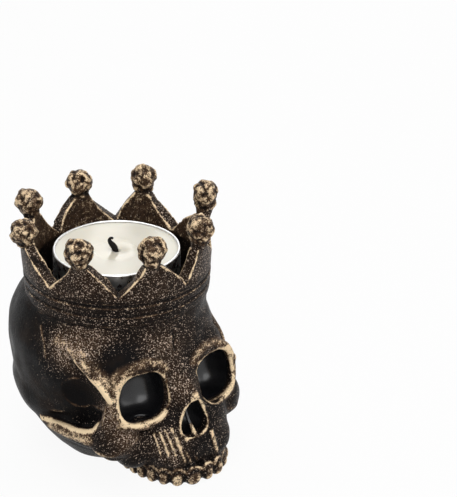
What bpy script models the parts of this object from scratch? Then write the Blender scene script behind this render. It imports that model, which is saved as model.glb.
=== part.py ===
"""Skull candle holder with a crown, one solid casting, and the tealight that stands in its well.

The floor is z = 0, the face looks along -Y and the crown's axis is x = y = 0. Lengths are millimetres here and
are scaled to metres when a mesh is finished.
"""
import bpy
import bmesh
import math
from mathutils import Matrix, Vector

MM = 0.001
GAP = 0.3                      # clearance between pieces that rest on each other

# Tealight, a standard size that sets the scale
CUP_R = 19.25
CUP_WALL = 0.4
CUP_RIM_R = 0.45               # rolled edge
TEALIGHT_TOP = 65.0
WAX_BELOW_RIM = 0.7
WICK_R = 0.65
WICK_RISE = 4.6
TAB_R = 6.0
TAB_T = 0.5

# Crown
BAND_Z = 52.0                  # lower edge of the band
BAND_R = 27.8
WELL_R = 24.3
LIP_R = 25.7                   # inside of the points at their tops
WELL_FLOOR = 49.5
POINTS = 8
POINT_TURN = -14.1             # degrees from +X to one point
NOTCH_Z = 62.0
SHEET_TOP = 71.3
FLARE = 1.3                    # outward lean of the points over their height
GROOVE_Z = (56.0, 59.3)
GROOVE_W = 0.55
GROOVE_D = 0.6
NECK_R = 2.5
BALL_R = 4.1
BALL_RING_R = 28.2
BALL_Z = SHEET_TOP + 4.7        # the balls ride on the points' tops
SWAY = (-7.1, 3.9, 0.6, 0.0, -9.5, -0.2, -1.9, -7.5)   # lean of each point round the ring, degrees
LIFT = (2.6, 0.0, -0.9, 0.0, -2.4, 0.2, 0.5, 1.2)      # and its ball's rise, millimetres

# Cranium: half width, half length, rise above and drop below its widest level
CRANIUM = (30.4, 33.0, 23.4, 46.0)
CRANIUM_X = -0.7
CRANIUM_Y = 3.2
CRANIUM_Z = 38.2

# Face
FACE_X = -0.3                  # the mask sits a little to the right of the crown's axis
FACE_Y = -29.0                 # plane of the orbits at their centre level
FACE_SLOPE = 0.18              # the lower rim stands further forward
ORBIT_X = 13.3
ORBIT_Z = 29.8
ORBIT_TILT = 1.1               # the right orbit sits this much higher, the left one lower
ORBIT_W = 7.9
ORBIT_H = 7.5
ORBIT_POWER = 2.8
ORBIT_TURN = 8.0               # degrees by which each orbit looks outwards
ORBIT_DEPTH = 14.0
RIM_R = 1.5
NOSE_X = 0.2
NOSE_Y = -36.5
NOSE_TOP = 28.2
NOSE_BOTTOM = 16.0
NOSE_W = 4.9
JAW_X = 3.9                    # the dental arch is set towards the left side
JAW_TURN = -3.0
JAW_Y = -16.5
JAW_W = 15.9
JAW_L = 22.4
JAW_POWER = 2.35
GUM_Z = 5.4
TEETH = 15
TOOTH_R = 2.3

# Meshing of the fused casting
VOXEL = 0.75
FINE = 0.55
SOFTEN_ROUNDS = 5
HEAD_TRIS = 7000
TIP_TRIS = 2400


def clear_scene():
    """Remove what a new file starts with."""
    for obj in list(bpy.data.objects):
        bpy.data.objects.remove(obj, do_unlink=True)


def material(name, colour, metallic, roughness):
    """Return a Principled material."""
    mat = bpy.data.materials.new(name)
    mat.use_nodes = True
    shader = mat.node_tree.nodes["Principled BSDF"]
    shader.inputs["Base Color"].default_value = (*colour, 1.0)
    shader.inputs["Metallic"].default_value = metallic
    shader.inputs["Roughness"].default_value = roughness
    mat.diffuse_color = (*colour, 1.0)
    return mat


def place(name, bm, mat=None):
    """Make an object from a bmesh drawn in millimetres."""
    bmesh.ops.scale(bm, vec=(MM, MM, MM), verts=bm.verts)
    bmesh.ops.recalc_face_normals(bm, faces=bm.faces)
    mesh = bpy.data.meshes.new(name)
    bm.to_mesh(mesh)
    bm.free()
    mesh.shade_smooth()
    obj = bpy.data.objects.new(name, mesh)
    bpy.context.scene.collection.objects.link(obj)
    if mat:
        mesh.materials.append(mat)
    return obj


def bake(obj):
    """Replace an object's mesh with the result of its modifiers."""
    bpy.context.view_layer.update()
    graph = bpy.context.evaluated_depsgraph_get()
    mesh = bpy.data.meshes.new_from_object(obj.evaluated_get(graph))
    obj.modifiers.clear()
    obj.data = mesh
    return obj


def remesh(obj, voxel, smooth):
    """Fuse overlapping forms into one skin and soften it."""
    mod = obj.modifiers.new("Fuse", "REMESH")
    mod.mode = "VOXEL"
    mod.voxel_size = voxel * MM
    mod = obj.modifiers.new("Soften", "SMOOTH")
    mod.factor = 0.5
    mod.iterations = round(smooth)
    return bake(obj)


def combine(obj, tool, operation):
    """Apply one exact Boolean and drop the tool."""
    mod = obj.modifiers.new(operation, "BOOLEAN")
    mod.operation = operation
    mod.solver = "EXACT"
    mod.object = tool
    bake(obj)
    bpy.data.objects.remove(tool, do_unlink=True)
    return obj


def egg(bm, centre, radii, power=2.0, turn=(0.0, 0.0, 0.0), segments=40, taper=0.0):
    """Add a superellipsoid. radii is (x, y, z) or (x, y, up, down), turn is in degrees, taper narrows its top."""
    made = bmesh.ops.create_uvsphere(bm, u_segments=segments, v_segments=segments // 2, radius=1.0)
    up, down = (radii[2], radii[-1])
    spin = Matrix.Rotation(math.radians(turn[2]), 3, "Z")
    spin = spin @ Matrix.Rotation(math.radians(turn[1]), 3, "Y") @ Matrix.Rotation(math.radians(turn[0]), 3, "X")
    for vert in made["verts"]:
        size = sum(abs(part) ** power for part in vert.co) ** (-1.0 / power)
        x, y, z = vert.co * size
        x *= 1.0 - taper * z
        vert.co = spin @ Vector((x * radii[0], y * radii[1], z * (up if z > 0 else down))) + Vector(centre)


def bar(bm, points, cyclic=False, steps=6, sides=2):
    """Add a round bar through points of (x, y, z, radius)."""
    curve = bpy.data.curves.new("bar", "CURVE")
    curve.dimensions = "3D"
    curve.bevel_depth = 1.0
    curve.bevel_resolution = sides
    curve.use_fill_caps = True
    spline = curve.splines.new("NURBS")
    spline.points.add(len(points) - 1)
    for point, (x, y, z, radius) in zip(spline.points, points):
        point.co = (x, y, z, 1.0)
        point.radius = radius
    spline.order_u = 4
    spline.resolution_u = steps
    spline.use_cyclic_u = cyclic
    spline.use_endpoint_u = not cyclic
    obj = bpy.data.objects.new("bar", curve)
    bpy.context.scene.collection.objects.link(obj)
    bpy.context.view_layer.update()
    mesh = bpy.data.meshes.new_from_object(obj.evaluated_get(bpy.context.evaluated_depsgraph_get()))
    bm.from_mesh(mesh)
    bmesh.ops.remove_doubles(bm, verts=bm.verts, dist=0.0001)
    bpy.data.objects.remove(obj, do_unlink=True)


def both(points, pinch=0.0):
    """Mirror a run of points, drawn on +X. The left side lies inside the right one by the pinch."""
    right = [(FACE_X - x, y, z + ORBIT_TILT, r) for x, y, z, r in points]
    left = [(FACE_X + x - pinch, y, z - ORBIT_TILT, r) for x, y, z, r in points]
    return [right, left]


def face_y(z):
    """Depth of the orbits' sloping plane at a height."""
    return FACE_Y + FACE_SLOPE * (z - ORBIT_Z)


def orbit_centre(side):
    """Centre of one orbit, side -1 for the right and 1 for the left."""
    return (FACE_X + side * ORBIT_X, FACE_Y, ORBIT_Z - side * ORBIT_TILT)


def dental_arch(grow):
    """Walk the dental arch at equal steps, four for each tooth, at a distance outside its own line."""
    line = []
    for i in range(361):
        angle = math.radians(182.0 + 176.0 * i / 360)
        c, s = math.cos(angle), math.sin(angle)
        size = (abs(c) ** JAW_POWER + abs(s) ** JAW_POWER) ** (-1 / JAW_POWER)
        flat = Vector(((JAW_W + grow) * c * size, (JAW_L + grow) * s * size, 0.0))
        line.append(Matrix.Rotation(math.radians(JAW_TURN), 3, "Z") @ flat + Vector((JAW_X, JAW_Y, 0.0)))
    run = [0.0]
    for a, b in zip(line, line[1:]):
        run.append(run[-1] + (b - a).length)
    points = []
    for k in range(TEETH * 4 + 1):
        goal = run[-1] * k / (TEETH * 4)
        i = next((j for j in range(len(line) - 2) if run[j + 1] >= goal), len(line) - 2)
        points.append(line[i].lerp(line[i + 1], (goal - run[i]) / (run[i + 1] - run[i])))
    return points


def head_form():
    """Fuse the cranium, brow, cheeks, jaw and arches into one form."""
    bm = bmesh.new()
    egg(bm, (CRANIUM_X, CRANIUM_Y, CRANIUM_Z), CRANIUM, segments=64)
    egg(bm, (CRANIUM_X - 0.7, CRANIUM_Y + 1.2, 22.0), (28.5, 31.0, 19.6), segments=64)
    bmesh.ops.create_cone(bm, cap_ends=True, segments=64, radius1=BAND_R - 1.2, radius2=BAND_R - 0.6,
                          depth=12.0, matrix=Matrix.Translation((0.0, 0.0, BAND_Z - 5.0)))
    egg(bm, (FACE_X - 0.8, -18.3, 33.0), (23.6, 10.8, 13.6), power=2.9, turn=(0, 4, 0))
    egg(bm, (FACE_X, -25.6, 27.0), (8.5, 9.6, 12.0), power=2.2, turn=(-12, 0, 0))
    egg(bm, (2.6, -25.3, 15.5), (15.4, 12.2, 12.0), power=2.5)
    egg(bm, (1.6, -22.4, 17.0), (17.6, 10.8, 9.0))
    egg(bm, (JAW_X, JAW_Y, 11.5), (JAW_W - 0.6, JAW_L - 0.9, 7.6), power=3.0, turn=(0, 0, JAW_TURN))
    egg(bm, (JAW_X, JAW_Y, 7.0), (JAW_W - 2.6, JAW_L - 2.6, 8.0), power=2.8, turn=(0, 0, JAW_TURN))
    for side in (-1, 1):
        egg(bm, (FACE_X + side * 20.0, -24.2, 17.4), (7.2, 6.2, 7.2), power=2.3, turn=(0, side * -16, side * 14))
    brow = [(0, -27, 38.4, 2.2), (6, -28.0, 38.8, 2.3), (13, -27.6, 39.4, 2.3), (18.2, -25.8, 37.8, 2.0),
            (21.2, -24.6, 34.4, 1.7), (22.8, -24.8, 28.6, 1.8), (24.0, -25.8, 21.4, 2.6), (22.6, -26.8, 15.4, 3.4)]
    ridge = [(27.6, 0, 45.6, 0.5), (27.0, -7, 44.6, 1.2), (25.8, -13, 41.8, 1.6), (24.8, -18.5, 39.0, 1.7),
             (24.0, -23, 36.4, 1.6), (23.0, -25.4, 33.6, 1.4), (22.7, -26.0, 30.0, 1.2)]
    arch = [(20.5, -25.4, 18.0, 3.8), (24.6, -22.6, 17.4, 3.3), (27.3, -15, 16.2, 2.5), (28.2, -8, 15.0, 2.0),
            (27.8, -1, 13.6, 1.5), (26.2, 6, 12.8, 0.8)]
    shelf = [(17.5, -22, 12.0, 3.0), (21.0, -15, 10.6, 3.0), (23.2, -6, 9.6, 2.7), (21.5, 3, 9.0, 2.2)]
    for run in both(brow, 0.9) + both(ridge, 1.6) + both(arch) + both(shelf):
        bar(bm, run)
    nasal = [(FACE_X, -26, 39, 3.0), (FACE_X, -28.5, 34, 3.5), (NOSE_X, -33.0, 29.6, 2.8), (NOSE_X, -37.4, 28.2, 1.9)]
    bar(bm, nasal)
    return remesh(place("holder", bm), VOXEL, SOFTEN_ROUNDS)


def join(obj, others):
    """Lay other meshes into an object's mesh, for the next fuse."""
    bm = bmesh.new()
    bm.from_mesh(obj.data)
    for other in others:
        bm.from_mesh(other.data)
        bpy.data.objects.remove(other, do_unlink=True)
    bm.to_mesh(obj.data)
    bm.free()
    return obj


def rims():
    """Add the lips round the orbits and the nose."""
    bm = bmesh.new()
    lean = math.tan(math.radians(ORBIT_TURN))
    for side in (-1, 1):
        cx, cy, cz = orbit_centre(side)
        ring = []
        for i in range(16):
            angle = math.tau * i / 16
            c, s = math.cos(angle), math.sin(angle)
            size = (abs(c) ** ORBIT_POWER + abs(s) ** ORBIT_POWER) ** (-1 / ORBIT_POWER)
            out = (ORBIT_W + 1.0) * c * size
            z = cz + (ORBIT_H + 1.0) * s * size
            ring.append((cx + out, face_y(z) + 0.3 + lean * out * side, z, RIM_R + 0.4 * (abs(s) > 0.5)))
        bar(bm, ring, cyclic=True)
    middle = (NOSE_TOP + NOSE_BOTTOM) / 2
    nose = []
    for i in range(14):
        angle = math.tau * i / 14
        width = NOSE_W * (1.0 - 0.38 * math.sin(angle))
        z = middle + (0.5 + (NOSE_TOP - NOSE_BOTTOM) / 2) * math.sin(angle)
        nose.append((NOSE_X + width * math.cos(angle), NOSE_Y + 1.2 * abs(math.cos(angle)), z, 1.0))
    bar(bm, nose, cyclic=True)
    return place("rims", bm)


def hollows():
    """Build the cutter for the orbits, the nose, the temples and the slots and seams along the arches."""
    bm = bmesh.new()
    for side in (-1, 1):
        egg(bm, orbit_centre(side), (ORBIT_W, ORBIT_DEPTH, ORBIT_H), ORBIT_POWER, (-10, 0, side * ORBIT_TURN))
        egg(bm, (FACE_X + side * 35.3, -19.0, 29.5), (12.8, 12.0, 10.0), turn=(0, 0, side * -6))
    nose = (NOSE_W * 0.86, 9.0, (NOSE_TOP - NOSE_BOTTOM) / 2)
    egg(bm, (NOSE_X, -37.0, (NOSE_TOP + NOSE_BOTTOM) / 2), nose, 2.2, (-4, 0, 0), taper=0.42)
    slot = [(29.5, 3, 17.0, 0.6), (29.4, -4, 18.2, 1.2), (28.6, -11, 19.9, 2.0), (26.8, -17, 21.6, 2.9),
            (25.8, -20.2, 23.8, 3.0), (26.6, -21.0, 27.0, 2.2)]
    seam = [(26.5, -27.0, 10.6, 0.4), (27.6, -21.0, 11.8, 0.9), (29.4, -14, 12.4, 1.0), (30.2, -7, 11.8, 0.9),
            (29.5, 2, 10.6, 0.6)]
    for run in both(slot) + both(seam):
        bar(bm, run)
    return place("hollows", bm)


def septum():
    """Stand the nasal septum and its spine in the opening."""
    bm = bmesh.new()
    bar(bm, [(NOSE_X + 0.3, -36.6, NOSE_BOTTOM - 1.0, 1.0), (NOSE_X + 0.2, -36.3, NOSE_BOTTOM + 0.7, 0.7),
             (NOSE_X - 0.3, -34.5, NOSE_BOTTOM + 3.0, 0.6), (NOSE_X - 0.2, -32.5, NOSE_BOTTOM + 6.0, 0.6),
             (NOSE_X, -31.0, NOSE_TOP - 3.0, 0.9)])
    return place("septum", bm)


def teeth():
    """Place rounded teeth and the scalloped gum along the dental arch."""
    bm = bmesh.new()
    line = dental_arch(-1.5)
    for i in range(TEETH):
        spot = line[4 * i + 2]
        span = line[4 * i + 3] - line[4 * i + 1]
        size = TOOTH_R * (1.08 - 0.2 * abs(2.0 * (i + 0.5) / TEETH - 1.0))
        turn = (0.0, 0.0, math.degrees(math.atan2(span.y, span.x)))
        egg(bm, (spot.x, spot.y, 3.0), (size, size * 1.05, 3.0), 2.2, turn, 20)
    wave = (0.75, 0.1, -1.0, 0.1)
    bar(bm, [(p.x, p.y, GUM_Z + wave[(i + 2) % 4], 0.85) for i, p in enumerate(dental_arch(-0.9))], steps=2)
    return place("teeth", bm)


def spun(name, line, mat, segments=64):
    """Spin a closed profile of (radius, z) round the axis."""
    bm = bmesh.new()
    verts = [bm.verts.new((radius, 0.0, z)) for radius, z in line]
    edges = [bm.edges.new(pair) for pair in zip(verts, verts[1:])]
    if line[0][0] > 0.0:
        edges.append(bm.edges.new((verts[-1], verts[0])))
    bmesh.ops.spin(bm, geom=verts + edges, cent=(0, 0, 0), axis=(0, 0, 1), angle=math.tau, steps=segments)
    bmesh.ops.remove_doubles(bm, verts=bm.verts, dist=0.001)
    return place(name, bm, mat)


def crown_blank():
    """Spin the crown's solid profile, with two grooves, up to the top of its sheet."""
    rise = SHEET_TOP - BAND_Z
    outer = [(BAND_R - 0.4, BAND_Z), (BAND_R, BAND_Z + 0.6)]
    for z in GROOVE_Z:
        lean = BAND_R + FLARE * (z - BAND_Z) / rise
        outer += [(lean, z - GROOVE_W), (lean - GROOVE_D, z), (lean, z + GROOVE_W)]
    outer += [(BAND_R + FLARE * share, BAND_Z + rise * share) for share in (0.55, 0.8, 1.0)]
    return spun("crown", [(0.0, BAND_Z)] + outer + [(0.0, SHEET_TOP)], None, 80)


def point_angle(i):
    """Angle of one point's tip round the ring, in degrees."""
    return POINT_TURN + 360.0 / POINTS * i + SWAY[i % POINTS]


def notches():
    """Build the ring of wedges that cut the points out of the sheet."""
    bm = bmesh.new()
    half_neck = math.degrees(NECK_R / BAND_R)
    for i in range(POINTS):
        middle = POINT_TURN + 360.0 / POINTS * (i + 0.5)
        low = point_angle(i) + half_neck
        high = point_angle(i + 1) + 360.0 * (i == POINTS - 1) - half_neck
        ends = []
        for reach in (WELL_R - 6.0, BAND_R + 6.0):
            corners = [(middle, NOTCH_Z), (high, SHEET_TOP + 0.2), (low, SHEET_TOP + 0.2)]
            ends.append([bm.verts.new((reach * math.cos(math.radians(a)), reach * math.sin(math.radians(a)), z))
                         for a, z in corners])
        near, far = ends
        bm.faces.new(near)
        bm.faces.new(far[::-1])
        for a in range(3):
            b = (a + 1) % 3
            bm.faces.new((near[a], far[a], far[b], near[b]))
    return place("notches", bm)


def finials():
    """Set a neck and a ball on each point."""
    bm = bmesh.new()
    lean = math.radians(4.0)
    for i in range(POINTS):
        turn = Matrix.Rotation(math.radians(point_angle(i)), 4, "Z")
        spot = turn @ Matrix.Translation((BALL_RING_R, 0, BALL_Z + LIFT[i])) @ Matrix.Rotation(lean, 4, "Y")
        bmesh.ops.create_icosphere(bm, subdivisions=3, radius=BALL_R, matrix=spot)
        base = turn @ Matrix.Translation((BALL_RING_R - 0.5, 0, SHEET_TOP + 0.3))
        bmesh.ops.create_cone(bm, cap_ends=True, segments=12, radius1=NECK_R, radius2=NECK_R * 0.85,
                              depth=5.0, matrix=base)
    return remesh(place("finials", bm), 0.55, 2)


def slab(name, low, high):
    """Return a block that spans the casting's width between two heights."""
    bm = bmesh.new()
    centre = Matrix.Translation((0.0, 0.0, (low + high) / 2))
    bmesh.ops.create_cube(bm, size=1.0, matrix=centre @ Matrix.Diagonal((120, 120, high - low, 1)))
    return place(name, bm)


def reduce(obj, target):
    """Thin a fused skin down to a number of triangles."""
    obj.data.calc_loop_triangles()
    mod = obj.modifiers.new("Thin", "DECIMATE")
    mod.ratio = min(1.0, target / len(obj.data.loop_triangles))
    return bake(obj)


def holder(mat):
    """Carve the fused head, join the crown and cut the well and the flat base."""
    head = head_form()
    remesh(join(head, [rims(), teeth()]), FINE, 1)
    combine(head, slab("top", BAND_Z + 0.7, 2.0 * BAND_Z), "DIFFERENCE")
    combine(head, remesh(hollows(), FINE, 1), "DIFFERENCE")
    remesh(join(head, [septum()]), FINE, 2)
    reduce(head, HEAD_TRIS)
    crown = crown_blank()
    combine(crown, notches(), "DIFFERENCE")
    tips = finials()
    reduce(tips, TIP_TRIS)
    combine(crown, tips, "UNION")
    combine(head, crown, "UNION")
    well = [(0.0, WELL_FLOOR), (WELL_R, WELL_FLOOR), (WELL_R, NOTCH_Z), (LIP_R, SHEET_TOP + 0.5)]
    combine(head, spun("well", well + [(0.0, SHEET_TOP + 0.5)], None, 80), "DIFFERENCE")
    combine(head, slab("ground", -20.0, 0.0), "DIFFERENCE")
    head.data.materials.clear()
    head.data.materials.append(mat)
    head.data.shade_smooth()
    return head


def tealight(metal, white, black):
    """Make the cup, the wax with its bored base, the wick tab and the wick."""
    low = WELL_FLOOR + GAP
    inner = CUP_R - CUP_WALL
    top = TEALIGHT_TOP - CUP_RIM_R
    lip = [(CUP_R - CUP_RIM_R * (1 - math.cos(a)), top + CUP_RIM_R * math.sin(a))
           for a in (math.radians(20 * i) for i in range(8))]
    cup = [(0.0, low), (CUP_R - 1.0, low), (CUP_R, low + 1.0)] + lip
    cup += [(inner, top), (inner, low + 1.2), (inner - 0.8, low + CUP_WALL), (0.0, low + CUP_WALL)]
    spun("tealight_cup", cup, metal)
    base = low + CUP_WALL + GAP
    wax_top = TEALIGHT_TOP - WAX_BELOW_RIM
    bore = WICK_R + GAP
    seat = TAB_R + GAP
    roof = base + TAB_T + 2 * GAP
    wax = [(seat, base), (inner - 1.4, base), (inner - GAP, base + 1.2), (inner - GAP, wax_top), (bore, wax_top)]
    spun("wax", wax + [(bore, roof), (seat, roof)], white)
    tab_low = base
    spun("wick_tab", [(0.0, tab_low), (TAB_R, tab_low), (TAB_R, tab_low + TAB_T), (0.0, tab_low + TAB_T)], metal, 40)
    bm = bmesh.new()
    foot = tab_low + TAB_T + GAP
    bar(bm, [(0, 0, foot, WICK_R), (0, 0, foot + 4, WICK_R), (0, 0, wax_top - 3, WICK_R),
             (0, 0, wax_top + 1, WICK_R), (-0.6, 0.2, wax_top + 3.0, WICK_R),
             (-2.4, 0.8, wax_top + WICK_RISE, WICK_R * 1.3),
             (-3.4, 1.6, wax_top + WICK_RISE - 0.6, WICK_R)], steps=3, sides=1)
    place("wick", bm, black)


def build():
    """Build every piece of the part."""
    clear_scene()
    bronze = material("bronze_paint", (0.075, 0.055, 0.045), 0.6, 0.5)
    metal = material("cup_aluminium", (0.82, 0.82, 0.8), 1.0, 0.35)
    white = material("wax_white", (0.9, 0.87, 0.78), 0.0, 0.4)
    black = material("wick_char", (0.02, 0.018, 0.016), 0.0, 0.9)
    holder(bronze)
    tealight(metal, white, black)


build()
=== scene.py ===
"""Looks of the crowned skull candle holder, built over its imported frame.

The casting is fused from simple forms, carved and sculpted in code, and painted by masks that are read from its own
relief, the way dry-brushed paint catches on raised edges. Lengths are millimetres until a mesh is finished.
"""

import logging
import math
from dataclasses import dataclass, replace
from enum import Enum
from typing import Sequence

import bmesh
import bpy
import numpy as np
from mathutils import Matrix, Vector, noise


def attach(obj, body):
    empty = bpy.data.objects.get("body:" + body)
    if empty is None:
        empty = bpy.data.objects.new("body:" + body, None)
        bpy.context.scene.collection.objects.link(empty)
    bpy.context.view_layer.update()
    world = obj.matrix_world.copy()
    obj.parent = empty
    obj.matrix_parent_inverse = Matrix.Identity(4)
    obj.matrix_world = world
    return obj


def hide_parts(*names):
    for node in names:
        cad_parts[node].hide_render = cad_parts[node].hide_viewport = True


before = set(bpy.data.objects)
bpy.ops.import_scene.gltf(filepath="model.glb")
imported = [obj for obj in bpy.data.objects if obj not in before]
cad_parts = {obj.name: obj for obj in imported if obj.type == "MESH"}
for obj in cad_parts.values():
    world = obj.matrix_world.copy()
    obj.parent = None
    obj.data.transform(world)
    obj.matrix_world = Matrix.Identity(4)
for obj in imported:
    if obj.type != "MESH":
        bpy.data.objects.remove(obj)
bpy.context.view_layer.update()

logging.basicConfig(level=logging.INFO, format="%(name)s: %(message)s")
log = logging.getLogger("scene")

MM = 0.001
Point = tuple[float, float, float]
Knot = tuple[float, float, float, float]


class Mask(Enum):
    """Names of the painted masks that the casting's material reads."""

    GILT = "gilt"
    DUST = "dust"
    HOLLOW = "hollow"
    # Painted shade in grooves, pits and gaps, partly the dark base paint that the gold brush missed there.
    UNBRUSHED_AND_SHADE = "unbrushed_and_shade"


# ---------------------------------------------------------------- mesh tools


def place(name: str, bm: bmesh.types.BMesh) -> bpy.types.Object:
    """Turn a bmesh drawn in millimetres into an object in metres.

    Args:
        name: the object's name.
        bm: the bmesh, which is freed.

    Returns:
        The new object, at the origin.
    """
    bmesh.ops.scale(bm, vec=(MM, MM, MM), verts=bm.verts)
    bmesh.ops.recalc_face_normals(bm, faces=bm.faces)
    mesh = bpy.data.meshes.new(name)
    bm.to_mesh(mesh)
    bm.free()
    mesh.shade_smooth()
    obj = bpy.data.objects.new(name, mesh)
    bpy.context.scene.collection.objects.link(obj)
    return obj


def bake(obj: bpy.types.Object) -> bpy.types.Object:
    """Replace an object's mesh by the result of its modifiers."""
    bpy.context.view_layer.update()
    graph = bpy.context.evaluated_depsgraph_get()
    mesh = bpy.data.meshes.new_from_object(obj.evaluated_get(graph))
    obj.modifiers.clear()
    obj.data = mesh
    return obj


def remesh(obj: bpy.types.Object, voxel: float, smooth: int) -> bpy.types.Object:
    """Fuse overlapping forms into one skin and soften it.

    Args:
        obj: the object whose mesh holds the forms.
        voxel: edge of the new skin's faces, in millimetres.
        smooth: rounds of smoothing.

    Returns:
        The same object.
    """
    mod = obj.modifiers.new("Fuse", "REMESH")
    mod.mode = "VOXEL"
    mod.voxel_size = voxel * MM
    if smooth:
        mod = obj.modifiers.new("Soften", "SMOOTH")
        mod.factor = 0.5
        mod.iterations = smooth
    return bake(obj)


def combine(obj: bpy.types.Object, tool: bpy.types.Object, operation: str) -> bpy.types.Object:
    """Apply one exact Boolean to an object and drop the tool."""
    mod = obj.modifiers.new(operation, "BOOLEAN")
    mod.operation = operation
    mod.solver = "EXACT"
    mod.object = tool
    bake(obj)
    bpy.data.objects.remove(tool, do_unlink=True)
    return obj


def join(obj: bpy.types.Object, others: Sequence[bpy.types.Object]) -> bpy.types.Object:
    """Lay other meshes into an object's mesh, for the next fuse."""
    bm = bmesh.new()
    bm.from_mesh(obj.data)
    for other in others:
        bm.from_mesh(other.data)
        bpy.data.objects.remove(other, do_unlink=True)
    bm.to_mesh(obj.data)
    bm.free()
    return obj


def spun(name: str, line: Sequence[tuple[float, float]], segments: int) -> bpy.types.Object:
    """Spin a profile of (radius, z) round the crown's axis.

    Args:
        name: the object's name.
        line: the profile, open where both ends lie on the axis and closed otherwise.
        segments: steps round the axis.

    Returns:
        The new object.
    """
    bm = bmesh.new()
    verts = [bm.verts.new((radius, 0.0, z)) for radius, z in line]
    edges = [bm.edges.new(pair) for pair in zip(verts, verts[1:])]
    if line[0][0] > 0.0:
        edges.append(bm.edges.new((verts[-1], verts[0])))
    bmesh.ops.spin(bm, geom=verts + edges, cent=(0, 0, 0), axis=(0, 0, 1), angle=math.tau, steps=segments)
    bmesh.ops.remove_doubles(bm, verts=bm.verts, dist=0.001)
    return place(name, bm)


@dataclass(frozen=True)
class Egg:
    """A superellipsoid.

    Args:
        centre: its middle.
        radii: (x, y, z), or (x, y, up, down) where it is deeper below than above.
        power: 2 for an ellipsoid, more for a squarer form.
        turn: degrees about X, Y and Z, in that order.
        segments: steps round it.
        taper: share by which it narrows towards its top and widens towards its foot.
    """

    centre: Point
    radii: tuple[float, ...]
    power: float = 2.0
    turn: Point = (0.0, 0.0, 0.0)
    segments: int = 64
    taper: float = 0.0

    def add(self, bm: bmesh.types.BMesh) -> None:
        """Add the form to a bmesh."""
        made = bmesh.ops.create_uvsphere(bm, u_segments=self.segments, v_segments=self.segments // 2, radius=1.0)
        up, down = self.radii[2], self.radii[-1]
        spin = self.spin()
        for vert in made["verts"]:
            size = sum(abs(part) ** self.power for part in vert.co) ** (-1.0 / self.power)
            x, y, z = vert.co * size
            x *= 1.0 - self.taper * z
            local = Vector((x * self.radii[0], y * self.radii[1], z * (up if z > 0 else down)))
            vert.co = spin @ local + Vector(self.centre)

    def spin(self) -> Matrix:
        """Return the form's turn."""
        turns = [Matrix.Rotation(math.radians(angle), 3, axis) for angle, axis in zip(self.turn, "XYZ")]
        return turns[2] @ turns[1] @ turns[0]

    def level(self, points: np.ndarray) -> np.ndarray:
        """Return 0 at the form's centre, 1 on its surface and more outside, for each point."""
        local = (points - np.array(self.centre)) @ np.array(self.spin())
        z = local[:, 2] / np.where(local[:, 2] > 0.0, self.radii[2], self.radii[-1])
        x = local[:, 0] / (self.radii[0] * (1.0 - self.taper * np.clip(z, -1.0, 1.0)))
        unit = np.abs(np.stack((x, local[:, 1] / self.radii[1], z), axis=1))
        return (unit ** self.power).sum(axis=1) ** (1.0 / self.power)


@dataclass(frozen=True)
class Bar:
    """A round bar of changing radius through a run of knots (x, y, z, radius)."""

    knots: Sequence[Knot]
    cyclic: bool = False
    steps: int = 8
    sides: int = 4

    def add(self, bm: bmesh.types.BMesh) -> None:
        """Add the bar to a bmesh."""
        curve = bpy.data.curves.new("bar", "CURVE")
        curve.dimensions = "3D"
        curve.bevel_depth = 1.0
        curve.bevel_resolution = self.sides
        curve.use_fill_caps = True
        spline = curve.splines.new("NURBS")
        spline.points.add(len(self.knots) - 1)
        for point, (x, y, z, radius) in zip(spline.points, self.knots):
            point.co = (x, y, z, 1.0)
            point.radius = radius
        spline.order_u = 4
        spline.resolution_u = self.steps
        spline.use_cyclic_u = self.cyclic
        spline.use_endpoint_u = not self.cyclic
        obj = bpy.data.objects.new("bar", curve)
        bpy.context.scene.collection.objects.link(obj)
        bpy.context.view_layer.update()
        mesh = bpy.data.meshes.new_from_object(obj.evaluated_get(bpy.context.evaluated_depsgraph_get()))
        bm.from_mesh(mesh)
        bmesh.ops.remove_doubles(bm, verts=bm.verts, dist=0.0001)
        bpy.data.objects.remove(obj, do_unlink=True)


@dataclass(frozen=True)
class Stroke:
    """One sculpting stroke along a line on the surface.

    Args:
        points: the line, in millimetres.
        width: distance from the line at which the stroke has mostly faded.
        height: how far it lifts the surface, or cuts it where negative.
        edge: 2 for a soft stroke, more for a flat-topped one.
        gilt: how much gold the stroke carries, or where negative how much painted shade, partly bare base paint, it
            lays along its line.
    """

    points: Sequence[Point]
    width: float
    height: float
    gilt: float = 0.0
    edge: float = 2.0


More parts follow.
